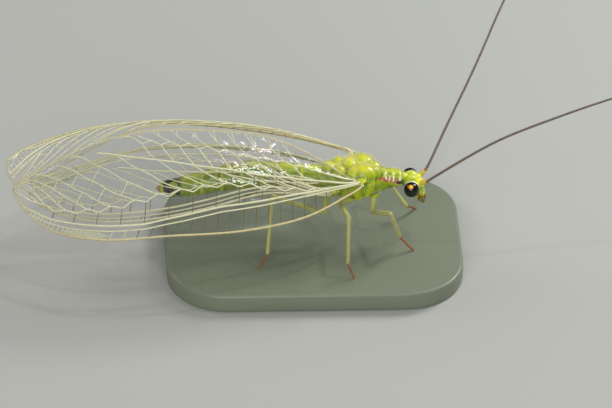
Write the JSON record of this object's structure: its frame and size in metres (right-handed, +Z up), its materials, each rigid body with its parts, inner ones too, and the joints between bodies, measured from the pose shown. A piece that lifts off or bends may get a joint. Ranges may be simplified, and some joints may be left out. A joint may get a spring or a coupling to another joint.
{
  "type": "green lacewing",
  "caption": "Life-size still model of a green lacewing at rest, netted clear wings folded like a roof, long antennae, standing on a thin plate.",
  "frame": {"origin": "middle of the underside of the whole model's box, on the surface that the display plate stands on", "axes": "+X to the insect's head, +Y to its left, +Z up"},
  "size_m": [0.0298, 0.0162, 0.0091],
  "materials": {
    "cuticle_green": "soft, slightly waxy insect cuticle, bright yellow-green",
    "cuticle_pale": "thin pale yellow-green cuticle of the legs and first antenna joints",
    "tarsus": "reddish-brown cuticle of the feet",
    "antenna": "dull mauve-brown, finely haired",
    "eye": "glossy black with a golden glint",
    "mouthparts": "pale straw with red-brown sides",
    "wing_membrane": "clear, faintly iridescent membrane with pale green veins",
    "stand": "satin grey-green plate"
  },
  "bodies": {
    "root": {"head": "cuticle_green", "eye_right": "eye", "eye_left": "eye", "mouthparts": "mouthparts", "antenna_right_scape": "cuticle_pale", "antenna_right_inner": "antenna", "antenna_right_outer": "antenna", "antenna_left_scape": "cuticle_pale", "antenna_left_inner": "antenna", "antenna_left_outer": "antenna", "prothorax": "cuticle_green", "mesothorax": "cuticle_green", "metathorax": "cuticle_green", "abdomen": "cuticle_green", "leg_front_right_femur": "cuticle_pale", "leg_front_right_tibia": "cuticle_pale", "leg_front_right_tarsus": "tarsus", "leg_front_left_femur": "cuticle_pale", "leg_front_left_tibia": "cuticle_pale", "leg_front_left_tarsus": "tarsus", "leg_mid_right_femur": "cuticle_pale", "leg_mid_right_tibia": "cuticle_pale", "leg_mid_right_tarsus": "tarsus", "leg_mid_left_femur": "cuticle_pale", "leg_mid_left_tibia": "cuticle_pale", "leg_mid_left_tarsus": "tarsus", "leg_hind_right_femur": "cuticle_pale", "leg_hind_right_tibia": "cuticle_pale", "leg_hind_right_tarsus": "tarsus", "leg_hind_left_femur": "cuticle_pale", "leg_hind_left_tibia": "cuticle_pale", "leg_hind_left_tarsus": "tarsus", "forewing_right": "wing_membrane", "hindwing_right": "wing_membrane", "forewing_left": "wing_membrane", "hindwing_left": "wing_membrane", "stand_base": "stand"}
  },
  "joints": []
}
